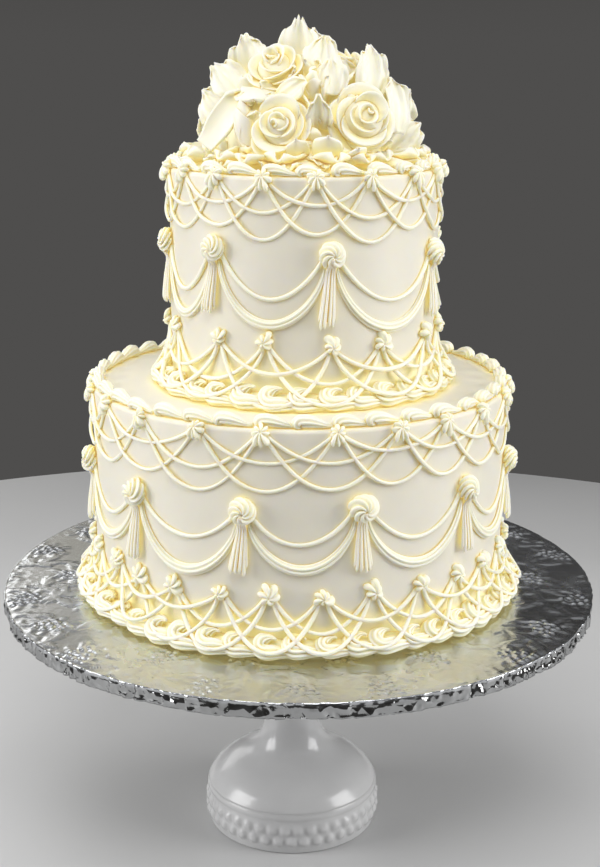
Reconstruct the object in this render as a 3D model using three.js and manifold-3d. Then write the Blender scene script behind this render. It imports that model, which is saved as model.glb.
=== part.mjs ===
// A two-tier wedding cake in ivory buttercream on a foil-covered board and a white glass pedestal.
// Millimetres, +Z up. The origin is on the table, under the centre of the board. -Y is the front.
// Piped work is fused to its tier. Roses, buds, petals and leaves are pieces of their own.

import * as THREE from 'three';
import { mergeVertices } from 'three/addons/utils/BufferGeometryUtils.js';
import Module from 'manifold-3d';

const wasm = await Module();
wasm.setup();

// Driving sizes
const GAP = 0.3;
const SINK = 0.9;
const BOARD = { radius: 203.2, top: 184.2, thickness: 12, edge: 1.5, sides: 56 };
const STAND = { x: -4.2, plateRadius: 126, footRadius: 60, stemRadius: 17.5, sides: 28 };
const TIER_HEIGHT = 141;
const LOWER = { x: 0, radius: 138.5, bottom: BOARD.top + GAP, sides: 34 };
const UPPER = { x: 2.5, radius: 87.7, bottom: BOARD.top + TIER_HEIGHT + GAP, sides: 28 };
const MOUND = { x: UPPER.x, bottom: UPPER.bottom + TIER_HEIGHT + GAP, radius: 53, height: 57, sides: 16 };
const LEAF_THICKNESS = 1.6;

// Finishes
const icing = { color: 0xf6eed6, roughness: 0.55, metalness: 0 };
const petalIcing = { color: 0xfaf2da, roughness: 0.5, metalness: 0 };
const foil = { color: 0xb9b8b4, roughness: 0.28, metalness: 1 };
const milkGlass = { color: 0xf4f5f4, roughness: 0.08, metalness: 0 };

// Places of the piped work, in degrees from the front, counted towards +X. The front ones are
// uneven, as the hand left them, and the rest share what is left of the circle.
const LOWER_PIPING = {
  middle: ring([-76, -45.1, -13.4, 15.6, 47.7, 78], 12),
  low: ring([-69.2, -55, -45.4, -33.1, -19.6, -7.3, 6.1, 19, 32.5, 45.3, 57.3], 28),
  middleHeight: 93.5,
  middleKnob: 8.3,
  lowHeight: 40,
  lowKnob: 6.2,
  garlandDrop: 39,
  tasselDrop: 42,
  borderShells: 50,
  borderReach: 12,
  borderHeight: 20,
  rimShells: 37,
  rimWidth: 13,
  rimHeight: 8,
};
const UPPER_PIPING = {
  middle: ring([-77, -38.1, 10.5, 65.2], 8),
  low: ring([-84, -62, -34.5, -15, 10.8, 32.4, 56.6, 76.9], 16),
  middleHeight: 96.5,
  middleKnob: 7.6,
  lowHeight: 42.5,
  lowKnob: 6,
  garlandDrop: 45,
  tasselDrop: 41,
  borderShells: 32,
  borderReach: 11,
  borderHeight: 17,
  rimShells: 24,
  rimWidth: 12,
  rimHeight: 7,
};

// The bouquet, in millimetres from the middle of the upper tier's top.
// A rose: name, middle of its face, the way it faces, radius, depth.
const ROSES = [
  ['rose_front_right', [34.9, -49, 33.3], [0.2, -0.9, 0.4], 19.5, 20],
  ['rose_front_left', [-15.5, -57, 28.7], [-0.15, -0.92, 0.35], 18, 17],
  ['rose_top', [-19, -24, 64], [-0.25, -0.6, 0.75], 17, 20],
  ['rose_upper_right', [30, 9, 64], [0.55, 0.15, 0.8], 13, 18],
  ['rose_left_side', [-58, 17, 27], [-0.9, 0.2, 0.35], 14, 16],
  ['rose_right_side', [57, 24, 28], [0.85, 0.4, 0.35], 15, 16],
  ['rose_back_left', [-33, 48, 32], [-0.5, 0.8, 0.35], 18, 18],
  ['rose_back_right', [17, 58, 31], [0.25, 0.88, 0.4], 18, 18],
  ['rose_back_top', [-2, 31, 62], [-0.05, 0.65, 0.75], 15, 18],
];
// A bud: name, foot, tip, radius.
const BUDS = [
  ['bud_left', [-33, -46, 14], [-39, -48, 43], 7.5],
  ['bud_top', [3, -30, 42], [5, -44, 60], 6.5],
];
// A petal or leaf: name, foot, tip, the way its face looks, width, how round its end is.
const BLADES = [
  ['petal_long_left', [-62, -42, 15], [-38, -38, 47], [-0.3, -0.9, 0.4], 17, 0.6],
  ['petal_round_front', [13, -60, 6], [14, -73, 22], [0, -0.9, 0.5], 19, 0.9],
  ['petal_round_right', [31, -60, 5], [33, -72, 15], [0.2, -0.9, 0.6], 15, 0.9],
  ['petal_between', [9, -50, 27], [8, -60, 46], [0, -1, 0.3], 13, 0.5],
  ['leaf_crown', [-4, -3, 55], [-5, 4, 92], [0, -1, 0.25], 21, 0.15],
  ['leaf_crown_back', [6, 12, 55], [6, 15, 86], [0.3, -1, 0.2], 16, 0.15],
  ['leaf_crown_right', [8, -27, 52], [13, -5, 81], [0.15, -0.9, 0.5], 20, 0.15],
  ['leaf_over_rose', [18, -40, 46], [16, -25, 67], [0.1, -0.9, 0.5], 15, 0.3],
  ['leaf_right_high', [44, -20, 42], [42, 0, 75], [0.4, -0.9, 0.35], 22, 0.2],
  ['leaf_right_middle', [59, -24, 24], [53, -12, 54], [0.7, -0.7, 0.2], 15, 0.3],
  ['leaf_right_back', [52, 2, 24], [64, 6, 47], [0.8, -0.5, 0.3], 17, 0.3],
  ['leaf_right_low', [54, -14, 10], [72, 0, 27], [0.5, -0.6, 0.6], 17, 0.3],
  ['leaf_left_high', [-30, -4, 52], [-39, 2, 82], [-0.3, -0.95, 0.3], 21, 0.2],
  ['leaf_left_middle', [-38, -14, 42], [-59, 3, 63], [-0.3, -0.8, 0.6], 19, 0.25],
  ['leaf_left_side', [-46, -14, 24], [-70, 6, 47], [-0.5, -0.75, 0.45], 20, 0.25],
  ['leaf_left_low', [-50, -6, 10], [-70, 8, 31], [-0.6, -0.5, 0.6], 18, 0.25],
  ['leaf_back_high', [14, 26, 50], [18, 34, 76], [0.2, 1, 0.4], 18, 0.2],
  ['leaf_back_left', [-44, 26, 34], [-56, 32, 58], [-0.6, 0.6, 0.5], 18, 0.25],
  ['leaf_back_right', [40, 32, 32], [46, 42, 56], [0.5, 0.8, 0.4], 18, 0.25],
  ['leaf_back_middle', [-7, 50, 20], [-8, 62, 42], [0, 0.9, 0.4], 17, 0.25],
  ['leaf_back_corner', [42, 44, 8], [50, 54, 28], [0.6, 0.7, 0.4], 17, 0.25],
];
// The leaves that lie round the foot of the bouquet: their directions, in degrees from the front.
const RING_LEAVES = [-68, -40, -12, 14, 40, 66, 92, 126, 160, -164, -130, -96];
const RING_LEAF = { from: 48, to: 77, width: 19, height: 5, lift: 8, wander: 2.5 };

function ring(front, total) {
  const last = front[front.length - 1];
  const step = (360 + front[0] - last) / (total - front.length + 1);
  const rest = Array.from({ length: total - front.length }, (_, i) => last + step * (i + 1));
  return [...front, ...rest];
}

// Geometry helpers

// A point on or off a tier's wall, at an angle, a height above the tier's foot and an offset.
function onWall(tier, degrees, height, out) {
  const a = THREE.MathUtils.degToRad(degrees);
  const r = tier.radius + out;
  return new THREE.Vector3(tier.x + r * Math.sin(a), -r * Math.cos(a), tier.bottom + height);
}

function inBouquet([x, y, z]) {
  return new THREE.Vector3(MOUND.x + x, y, MOUND.bottom + z);
}

// Two places in the bouquet, moved apart along their own line.
function stretched(foot, tip, by) {
  const [start, end] = [inBouquet(foot), inBouquet(tip)];
  const step = end.clone().sub(start).setLength(by);
  return [start.sub(step), end.add(step)];
}

function geometryOf(points, triangles) {
  const geometry = new THREE.BufferGeometry().setFromPoints(points);
  geometry.setIndex(triangles);
  return geometry;
}

// A closed body through rings of points that follow each other. The last ring joins the first, or
// both end rings are capped from their middles.
function skin(rings, closed) {
  const points = rings.flat();
  const n = rings[0].length;
  const triangles = [];
  const bands = closed ? rings.length : rings.length - 1;
  for (let i = 0; i < bands; i++) {
    const a = i * n;
    const b = ((i + 1) % rings.length) * n;
    for (let j = 0; j < n; j++) {
      const k = (j + 1) % n;
      triangles.push(a + j, b + j, b + k, a + j, b + k, a + k);
    }
  }
  for (const start of closed ? [] : [0, (rings.length - 1) * n]) {
    const middle = new THREE.Vector3();
    for (let j = 0; j < n; j++) middle.addScaledVector(points[start + j], 1 / n);
    const centre = points.push(middle) - 1;
    for (let j = 0; j < n; j++) {
      const k = (j + 1) % n;
      if (start === 0) triangles.push(centre, j, k);
      else triangles.push(centre, start + k, start + j);
    }
  }
  return geometryOf(points, triangles);
}

// A thin body on both sides of a grid of points, each side split into triangles alike.
function sheet(grid, faceUp, thickness) {
  const rows = grid.length;
  const columns = grid[0].length;
  const count = rows * columns;
  const upper = grid.flat().map((p) => p.clone().addScaledVector(faceUp, thickness / 2));
  const under = grid.flat().map((p) => p.clone().addScaledVector(faceUp, -thickness / 2));
  const triangles = [];
  for (let i = 0; i < rows - 1; i++) {
    for (let j = 0; j < columns - 1; j++) {
      const [a, b, c, d] = [i, i + 1, i + 1, i].map((r, k) => r * columns + j + (k > 1 ? 1 : 0));
      triangles.push(a, b, c, a, c, d);
      triangles.push(count + a, count + c, count + b, count + a, count + d, count + c);
    }
  }
  const down = Array.from({ length: rows - 1 }, (_, i) => i * columns);
  const along = Array.from({ length: columns - 1 }, (_, j) => (rows - 1) * columns + j);
  const back = Array.from({ length: rows - 1 }, (_, i) => (rows - i) * columns - 1);
  const home = Array.from({ length: columns - 1 }, (_, j) => columns - 1 - j);
  const border = [...down, ...along, ...back, ...home];
  border.forEach((p, i) => {
    const q = border[(i + 1) % border.length];
    triangles.push(p, count + p, count + q, p, count + q, q);
  });
  return geometryOf([...upper, ...under], triangles);
}

// A closed mesh as a solid: shared points merged, collapsed faces dropped, faces turned outward.
function solidOf(geometry) {
  const bare = geometry.clone();
  bare.deleteAttribute('normal');
  bare.deleteAttribute('uv');
  const merged = mergeVertices(bare, 1e-4);
  const position = merged.getAttribute('position').array;
  const index = merged.getIndex().array;
  const kept = [];
  let volume = 0;
  const corner = (i) => new THREE.Vector3().fromArray(position, i * 3);
  for (let i = 0; i < index.length; i += 3) {
    const [a, b, c] = [index[i], index[i + 1], index[i + 2]];
    if (a === b || b === c || a === c) continue;
    kept.push([a, b, c]);
    volume += corner(a).dot(corner(b).cross(corner(c)));
  }
  const faces = kept.map(([a, b, c]) => (volume < 0 ? [a, c, b] : [a, b, c]));
  return new wasm.Manifold(new wasm.Mesh({
    numProp: 3,
    vertProperties: Float32Array.from(position),
    triVerts: Uint32Array.from(faces.flat()),
  }));
}

function geometryFrom(solid) {
  const { vertProperties, triVerts, numProp } = solid.getMesh();
  const points = [];
  for (let i = 0; i < vertProperties.length; i += numProp) {
    points.push(new THREE.Vector3().fromArray(vertProperties, i));
  }
  const geometry = geometryOf(points, Array.from(triVerts));
  geometry.computeVertexNormals();
  return geometry;
}

function fuse(solids) {
  let layer = solids;
  while (layer.length > 1) {
    const next = [];
    for (let i = 0; i < layer.length; i += 2) {
      next.push(i + 1 < layer.length ? layer[i].add(layer[i + 1]) : layer[i]);
    }
    layer = next;
  }
  return layer[0];
}

function largest(solid) {
  return solid.decompose().reduce((a, b) => (a.volume() > b.volume() ? a : b));
}

function meshOf(name, solid, finish) {
  const mesh = new THREE.Mesh(geometryFrom(solid), new THREE.MeshStandardMaterial(finish));
  mesh.name = name;
  return mesh;
}

function lathe(profile, sides) {
  const points = profile.map(([r, z]) => new THREE.Vector2(r, z));
  return new THREE.LatheGeometry(points, sides).rotateX(Math.PI / 2);
}

// Pedestal: a flat foot, an upright band, a domed shoulder, a waisted stem and a flat plate.
function standSolid() {
  const top = BOARD.top - BOARD.thickness - GAP;
  const { footRadius: foot, stemRadius: stem, plateRadius: plate } = STAND;
  const profile = [
    [0, 0], [foot - 2, 0], [foot, 2], [foot + 1, 14], [foot - 0.5, 30],
    [foot - 6, 39], [foot - 15, 46], [foot - 27, 52], [foot - 36, 60], [stem + 2, 72],
    [stem, 92], [stem + 1, 116], [stem + 7, 137], [stem + 24, 151],
    [plate - 4, 162], [plate, 165], [plate, top], [0, top],
  ];
  return solidOf(lathe(profile, STAND.sides).translate(STAND.x, 0, 0));
}

function boardSolid() {
  const { radius, top, thickness, edge, sides } = BOARD;
  const bottom = top - thickness;
  const profile = [
    [0, bottom], [radius - edge, bottom], [radius, bottom + edge],
    [radius, top - edge], [radius - edge, top], [0, top],
  ];
  return solidOf(lathe(profile, sides));
}

function tierBody(tier) {
  const round = 2.5;
  const h = TIER_HEIGHT;
  const profile = [[0, 0], [tier.radius, 0], [tier.radius, h - round], [tier.radius - round, h], [0, h]];
  return solidOf(lathe(profile, tier.sides).translate(tier.x, 0, tier.bottom));
}

// Sections of piped icing: [across, out], in shares of the half width and of how proud it stands.
// A point with no share out lies in the wall.
const ROUND = [[-1, null], [0, 1], [1, null]];
const FLUTED = [[-1, null], [-0.55, 0.9], [0, 0.5], [0.55, 1], [1, null]];

// Icing piped along a wall. A stop is [degrees, height, half width, proud].
function piped(tier, stops, section) {
  const arc = THREE.MathUtils.degToRad(1) * tier.radius;
  const rings = stops.map(([degrees, height, half, proud], i) => {
    const before = stops[Math.max(i - 1, 0)];
    const after = stops[Math.min(i + 1, stops.length - 1)];
    const along = new THREE.Vector2((after[0] - before[0]) * arc, after[1] - before[1]).normalize();
    return section.map(([across, out]) => {
      const side = across * half;
      const reach = out === null ? -SINK : out * proud;
      return onWall(tier, degrees - (along.y * side) / arc, height + along.x * side, reach);
    });
  });
  return solidOf(skin(rings, false));
}

// A garland hangs between two tassels in a parabola, and is fattest in the middle.
function garland(tier, from, to, height, drop) {
  const steps = 4;
  const stops = Array.from({ length: steps + 1 }, (_, i) => {
    const t = i / steps;
    const belly = 4 * t * (1 - t);
    return [from + (to - from) * t, height - drop * belly, 1.6 + 3 * belly, 1.5 + 3 * belly];
  });
  return piped(tier, stops, ROUND);
}

function tassel(tier, degrees, height, drop) {
  const stops = [
    [degrees, height, 2.4, 4.5],
    [degrees, height - drop * 0.45, 4, 4],
    [degrees, height - drop, 6.6, 3.4],
  ];
  return piped(tier, stops, FLUTED);
}

// A knob of icing with its foot in the wall, turned as it was piped.
// A level is [share of the radius, share of how proud it stands, turn in spots].
const PEAK = [[1, null, 0], [0, 1, 0]];
const SWIRL = [[1, null, 0], [0.92, 0.5, 0.6], [0.5, 1, 1.4], [0, 0.85, 0]];

function knob(tier, degrees, height, radius, proud, spots, levels) {
  const arc = THREE.MathUtils.degToRad(1) * tier.radius;
  const rings = levels.map(([share, out, turn]) => Array.from({ length: spots }, (_, j) => {
    const a = ((j + turn) / spots) * 2 * Math.PI;
    const r = radius * share * (j % 2 ? 0.85 : 1);
    const reach = out === null ? -SINK : out * proud;
    return onWall(tier, degrees + (r * Math.cos(a)) / arc, height + r * Math.sin(a), reach);
  }));
  return solidOf(skin(rings, false));
}

// A ring of shells round a tier: a closed outline that swells at each shell and dips after it.
function shellRing(tier, shells, sectionAt) {
  const rings = Array.from({ length: shells * 2 }, (_, i) => {
    const degrees = (i / shells) * 180 + (i % 2 ? 60 / shells : 0);
    return sectionAt(i % 2 ? 0 : 1).map(([out, height]) => onWall(tier, degrees, height, out));
  });
  return solidOf(skin(rings, true));
}

function footBorder(tier, { borderShells, borderReach, borderHeight }) {
  return shellRing(tier, borderShells, (swell) => [
    [-SINK, 0],
    [borderReach * (0.7 + 0.3 * swell), 0],
    [borderReach * (0.45 + 0.4 * swell), borderHeight * (0.45 + 0.2 * swell)],
    [-SINK, borderHeight * (0.75 + 0.25 * swell)],
  ]);
}

function rimBorder(tier, { rimShells, rimWidth, rimHeight }) {
  const h = TIER_HEIGHT;
  return shellRing(tier, rimShells, (swell) => [
    [-rimWidth * (0.75 + 0.25 * swell), h - SINK],
    [1.2 * swell, h - 4],
    [-rimWidth * 0.4, h + rimHeight * (0.45 + 0.55 * swell)],
  ]);
}

function tierSolid(tier, piping) {
  const { middle, low, middleHeight, lowHeight } = piping;
  const next = (i) => (i + 1 < middle.length ? middle[i + 1] : middle[0] + 360);
  return fuse([
    tierBody(tier),
    footBorder(tier, piping),
    rimBorder(tier, piping),
    ...middle.map((a, i) => garland(tier, a, next(i), middleHeight, piping.garlandDrop)),
    ...middle.map((a) => tassel(tier, a, middleHeight - 4, piping.tasselDrop - 4)),
    ...middle.map((a) => knob(tier, a, middleHeight, piping.middleKnob, 10, 8, SWIRL)),
    ...low.map((a) => knob(tier, a, lowHeight, piping.lowKnob, 8, 5, PEAK)),
  ]);
}

// Each piece of the bouquet takes a clearance. With one, it makes the space to keep free round it.
function moundSolid(clearance) {
  const [r, h] = [MOUND.radius + clearance, MOUND.height + clearance];
  const profile = [[0, 0], [r, 0], [r * 0.96, h * 0.3], [r * 0.8, h * 0.62], [r * 0.45, h * 0.9], [0, h]];
  return solidOf(lathe(profile, MOUND.sides).translate(MOUND.x, 0, MOUND.bottom));
}

// A rose: rims of petals round a deep heart, on a foot that narrows behind. The space kept free
// round it has no heart. A level is [share of the radius, share of the depth, waviness].
const ROSE_LEVELS = [
  [0, -1, 0], [0.5, -0.75, 0], [1, 0.05, 0.1], [0.76, -0.15, 0.05],
  [0.6, 0.3, 0.08], [0.36, 0.08, 0.05], [0.22, 0.42, 0], [0, 0.25, 0],
];
const ROSE_SPACE = [[0, -1.03, 0], [0.56, -0.8, 0], [1.17, 0, 0], [1.12, 0.2, 0], [0.7, 0.45, 0], [0, 0.55, 0]];

function rose([, face, facing, radius, depth], clearance) {
  const spots = 10;
  const forward = new THREE.Vector3(...facing).normalize();
  const turn = new THREE.Quaternion().setFromUnitVectors(new THREE.Vector3(0, 0, 1), forward);
  const levels = clearance > 0 ? ROSE_SPACE : ROSE_LEVELS;
  const rings = levels.map(([share, rise, wave], level) => Array.from({ length: spots }, (_, j) => {
    const a = ((j + level * 0.5) / spots) * 2 * Math.PI;
    const ripple = Math.cos(4 * a + level * 1.3);
    const r = radius * (share + wave * ripple);
    const spot = new THREE.Vector3(r * Math.cos(a), r * Math.sin(a), depth * (rise + wave * ripple));
    return spot.applyQuaternion(turn).add(inBouquet(face));
  }));
  return solidOf(skin(rings, false));
}

function bud([, foot, tip, radius], clearance) {
  const spots = 7;
  const [start, end] = stretched(foot, tip, clearance);
  const forward = end.clone().sub(start);
  const turn = new THREE.Quaternion().setFromUnitVectors(
    new THREE.Vector3(0, 0, 1), forward.clone().normalize());
  const levels = [[0, 0], [0.85, 0.2], [1, 0.55], [0.6, 0.85], [0, 1]];
  const rings = levels.map(([share, along]) => Array.from({ length: spots }, (_, j) => {
    const a = (j / spots) * 2 * Math.PI;
    const r = (radius + clearance) * share * (j % 2 ? 0.88 : 1);
    return new THREE.Vector3(r * Math.cos(a), r * Math.sin(a), 0)
      .applyQuaternion(turn).add(start).addScaledVector(forward, along);
  }));
  return solidOf(skin(rings, false));
}

// A leaf or petal: folded along its middle, arched, its edges waving, its end pointed or round.
function blade([, foot, tip, facing, width, roundness], clearance) {
  const steps = 3;
  const [start, end] = stretched(foot, tip, clearance);
  const along = end.clone().sub(start);
  const across = along.clone().cross(new THREE.Vector3(...facing)).normalize();
  const up = across.clone().cross(along).normalize();
  const fold = 0.28;
  const arch = 0.08 * along.length();
  const grid = Array.from({ length: steps + 1 }, (_, i) => {
    const s = i / steps;
    const taper = 0.3 + 0.7 * Math.sin(Math.PI * Math.min(s * 0.9 + 0.05, 0.5));
    const narrowing = s > 0.5 ? Math.max(0.04, 1 - (1 - roundness) * ((s - 0.5) * 2) ** 1.4) : 1;
    const share = taper * narrowing * (s === 1 ? Math.max(roundness * 0.7, 0.1) : 1);
    const half = (width / 2) * share + clearance;
    return [-1, 0, 1].map((side) => {
      const wave = side * (i % 2 ? 1 : -1) * 0.06 * width;
      const rise = half * fold * Math.abs(side) + arch * 4 * s * (1 - s) + wave * (s < 1 ? 1 : 0);
      return start.clone().addScaledVector(along, s).addScaledVector(across, half * side)
        .addScaledVector(up, rise);
    });
  });
  return solidOf(sheet(grid, up, LEAF_THICKNESS + 2 * clearance));
}

function ringLeaf(degrees, i, clearance) {
  const { from, to, width, height, lift, wander } = RING_LEAF;
  const a = THREE.MathUtils.degToRad(degrees);
  const reach = to + wander * Math.sin(i * 2.4);
  const point = (r, z) => [r * Math.sin(a), -r * Math.cos(a), z];
  const row = [null, point(from, height), point(reach, height + lift), [0, 0, 1], width, 0.3];
  return blade(row, clearance);
}

// The bouquet, in the order in which the pieces were set: a later piece gives way to an earlier one.
function bouquet() {
  const pieces = [];
  const taken = [];
  const set = (name, make) => {
    const clear = taken.reduce((left, space) => left.subtract(space), make(0));
    pieces.push([name, largest(clear)]);
    taken.push(make(GAP * 1.5));
  };
  set('flower_mound', moundSolid);
  ROSES.forEach((row) => set(row[0], (clearance) => rose(row, clearance)));
  BUDS.forEach((row) => set(row[0], (clearance) => bud(row, clearance)));
  BLADES.forEach((row) => set(row[0], (clearance) => blade(row, clearance)));
  RING_LEAVES.forEach((degrees, i) => {
    set(`ring_leaf_${i + 1}`, (clearance) => ringLeaf(degrees, i, clearance));
  });
  return pieces;
}

const cake = new THREE.Group();
cake.name = 'wedding_cake';
cake.add(meshOf('cake_stand', standSolid(), milkGlass));
cake.add(meshOf('cake_board', boardSolid(), foil));
cake.add(meshOf('lower_tier', tierSolid(LOWER, LOWER_PIPING), icing));
cake.add(meshOf('upper_tier', tierSolid(UPPER, UPPER_PIPING), icing));
bouquet().forEach(([name, solid]) => cake.add(meshOf(name, solid, petalIcing)));

export default cake;
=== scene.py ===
"""The looks of a two-tier piped wedding cake, its foil board and its glass pedestal."""

import math
from types import SimpleNamespace as Sizes

import bpy
import numpy as np
from mathutils import Matrix, Vector


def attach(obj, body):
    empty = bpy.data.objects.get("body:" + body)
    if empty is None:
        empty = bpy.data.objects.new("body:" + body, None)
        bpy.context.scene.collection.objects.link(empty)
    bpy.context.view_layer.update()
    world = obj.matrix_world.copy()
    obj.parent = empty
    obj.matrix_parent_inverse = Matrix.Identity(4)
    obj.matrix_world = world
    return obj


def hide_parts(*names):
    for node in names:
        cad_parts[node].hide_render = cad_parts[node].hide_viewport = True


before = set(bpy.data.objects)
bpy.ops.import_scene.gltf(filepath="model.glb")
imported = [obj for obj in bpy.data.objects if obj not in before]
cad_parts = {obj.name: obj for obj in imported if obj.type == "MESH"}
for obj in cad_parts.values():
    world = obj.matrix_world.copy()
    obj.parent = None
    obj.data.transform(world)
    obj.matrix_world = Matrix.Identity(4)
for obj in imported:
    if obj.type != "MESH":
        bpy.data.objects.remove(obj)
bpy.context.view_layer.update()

# Sizes are in millimetres, and MM turns them into Blender's metres.
# Angles round the cake are in degrees: 0 is the front, and they grow towards the right.
MM = 0.001
UP = np.array([0.0, 0.0, 1.0])
WHITE = (1.0, 1.0, 1.0)
GOLDEN_ANGLE = 2.39996

BOARD = Sizes(radius=203.2, top=184.2, thickness=12.0)
STAND = Sizes(x=-4.2, plate=126.0, foot=60.0, stem=17.5)
TIER_HEIGHT = 141.0
TIER_EDGE = 2.5
BOUQUET_FOOT = (2.5, 0.0, 466.8)


def ring(front, total):
    """The angles of what goes round a tier: those at the front, then the rest evenly spaced."""
    rest = total - len(front)
    gap = (360 - (front[-1] - front[0])) / (rest + 1)
    return np.array(list(front) + [front[-1] + gap * (i + 1) for i in range(rest)])


# Heights are over a tier's foot. The lows are how low the strings hang under each rosette in turn,
# the shallow string first and then the deep one; rosettes past the end of a list get its average.
LOWER = Sizes(
    name="lower_tier", x=0.0, radius=138.5, bottom=184.5, seed=11,
    top=ring([-60.7, -43.7, -25.8, -9.1, 9.3, 25.4, 39.5, 54.3, 72.4], 22),
    top_height=138.5, top_size=5.4,
    top_lows=([116.2, 124, 115.1, 120.7, 121.2, 126.5, 123.2, 122.5],
                 [103.2, 106.7, 100.8, 103.6, 105, 105.5, 105.9, 104.7]),
    middle=ring([-76, -45.9, -13.8, 15.6, 47.7, 78], 12),
    middle_heights=[93.5, 91.2, 90.6, 93.5], middle_size=8.7,
    tassels=[(43, 0), (47, -3.5), (40.5, -3.0), (42, 0.5), (44, 1), (43, 0)],
    garland_lows=[53.5, 48.8, 54.5, 53.5], string_lows=[69.0],
    garland_width=3.5, tassel_width=5.6,
    low=ring([-69.2, -55, -45.4, -33.1, -19.6, -7.3, 6.1, 19, 32.5, 45.3, 57.3], 28),
    low_heights=[39.5, 40.5, 36.7, 37.2, 37.8, 38.6, 37.8, 39.6, 38.5], low_size=6.3,
    low_lows=([20, 22, 24.5, 24.2, 17, 17.3, 15.3, 21.5, 18.4, 25.3, 20],
                 [7, 7, 11, 6, 5.4, 6.5, 6.4, 7, 5.9, 7, 7]),
    foot_count=50, foot_size=9.6, rim_count=37, rim_size=5.5,
)
UPPER = Sizes(
    name="upper_tier", x=2.5, radius=87.7, bottom=325.5, seed=23,
    top=ring([-57.2, -37.2, -16.3, 4.3, 26.3, 50.1, 68.9], 17),
    top_height=140.0, top_size=5.3,
    top_lows=([120.8, 124.7, 120.1, 124.4, 116.6, 125.0],
                 [106.6, 110.8, 103.9, 107.4, 101.9, 108.0]),
    middle=ring([-77, -38.1, 10.5, 65.2], 8),
    middle_heights=[94.8, 97, 95.3, 90.8, 95], middle_size=8.2,
    tassels=[(42, 0), (42, -4.5), (46.5, -3.5), (42, -1), (42, 0)],
    garland_lows=[52.5, 52.5, 48.5, 51], string_lows=[67.5, 68.5, 65.5, 66],
    garland_width=3.3, tassel_width=4.9,
    low=ring([-84, -66.5, -36, -15, 11.2, 32.8, 61, 79], 16),
    low_heights=[43, 43, 41.8, 41.8, 39.6, 40, 40.8, 42, 42.5], low_size=6.2,
    low_lows=([19, 20, 15.3, 22.5, 16.5, 22.6, 19.8, 19],
                 [6, 6, 6, 3.5, 5.1, 8.7, 6, 6]),
    foot_count=32, foot_size=9.0, rim_count=24, rim_size=5.1,
)


def listed(values, i):
    """The value for one of the things round a tier: past the end of a list its last one serves."""
    return values[min(i, len(values) - 1)]


# Meshes

class Mass:
    """Closed skins gathered into one mesh, in millimetres."""

    def __init__(self):
        self.points = np.empty((0, 3))
        self.faces = []

    def add(self, points, quads, triangles=()):
        """Adds a closed skin, with its faces turned outwards."""
        quads = np.reshape(quads, (-1, 4))
        triangles = np.reshape(np.array(triangles, int), (-1, 3))
        way = 1 if volume(points, quads, triangles) > 0 else -1
        for faces in (quads, triangles):
            self.faces += (faces[:, ::way] + len(self.points)).tolist()
        self.points = np.vstack([self.points, points])

    def build(self, name, material):
        mesh = bpy.data.meshes.new(name)
        mesh.from_pydata((self.points * MM).tolist(), [], self.faces)
        mesh.validate()
        mesh.shade_smooth()
        mesh.materials.append(material)
        piece = bpy.data.objects.new(name, mesh)
        bpy.context.scene.collection.objects.link(piece)
        return piece


def volume(points, quads, triangles):
    """Six times the volume inside a closed skin: it is negative where the faces point in."""
    every = np.concatenate([triangles, quads[:, [0, 1, 2]], quads[:, [0, 2, 3]]])
    a, b, c = (points[every[:, k]] - points.mean(0) for k in range(3))
    return np.einsum("ij,ij->i", a, np.cross(b, c)).sum()


def tube(mass, rings, start=None, end=None):
    """A closed skin over rings of points, with a point over each end."""
    rings = np.array(rings)
    rows, columns = rings.shape[:2]
    first = rings[0].mean(0) if start is None else start
    last = rings[-1].mean(0) if end is None else end
    number = np.arange(rows * columns).reshape(rows, columns)
    after = np.roll(number, -1, axis=1)
    quads = np.stack([number[:-1], number[1:], after[1:], after[:-1]], -1)
    tips = rows * columns + np.array([[0], [1]]) + 0 * number[:1]
    triangles = np.stack([tips, [number[0], after[-1]], [after[0], number[-1]]], -1)
    mass.add(np.vstack([rings.reshape(-1, 3), [first, last]]), quads, triangles)


def sheet(mass, grid, thickness):
    """A closed thin solid: a grid of points with another laid behind it, joined along the edges."""
    rows, columns = grid.shape[:2]
    normal = unit(np.cross(np.gradient(grid, axis=1), np.gradient(grid, axis=0)))
    back = grid - normal * np.broadcast_to(thickness, (rows, columns))[..., None]
    number = np.arange(rows * columns).reshape(rows, columns)
    front = np.stack([number[:-1, :-1], number[1:, :-1], number[1:, 1:], number[:-1, 1:]], -1)
    front = front.reshape(-1, 4)
    edge = np.concatenate([number[0, :-1], number[:-1, -1], number[-1, :0:-1], number[:0:-1, 0]])
    after = np.roll(edge, -1)
    behind = rows * columns
    rim = np.stack([edge, after, after + behind, edge + behind], -1)
    quads = np.concatenate([front, front[:, ::-1] + behind, rim])
    mass.add(np.concatenate([grid, back]).reshape(-1, 3), quads)


def skin(rings):
    """A mesh of one closed skin."""
    mass = Mass()
    tube(mass, rings)
    return mass


def unit(vectors):
    return vectors / np.maximum(np.linalg.norm(vectors, axis=-1, keepdims=True), 1e-9)


def smooth(share):
    """0 below 0, 1 over 1, and an easy curve between."""
    share = np.clip(share, 0, 1)
    return share * share * (3 - 2 * share)


def dice_of(seed):
    """Seeded dice: each throw gives a number between two others."""
    return np.random.default_rng(seed).uniform


def circle(columns):
    """Angles evenly all round."""
    return 2 * np.pi * np.arange(columns) / columns


def around(angle, radius, height, x=0.0):
    """Points round an upright axis, where angle 0 is the front."""
    return np.stack([x + radius * np.sin(angle), -radius * np.cos(angle), height + 0 * angle], -1)


def placed(origin, axes, *distances):
    """The points at these distances from a place, along each of its three axes."""
    a, b, c = (np.asarray(distance, float)[..., None] for distance in distances)
    return origin + axes[0] * a + axes[1] * b + axes[2] * c


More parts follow.
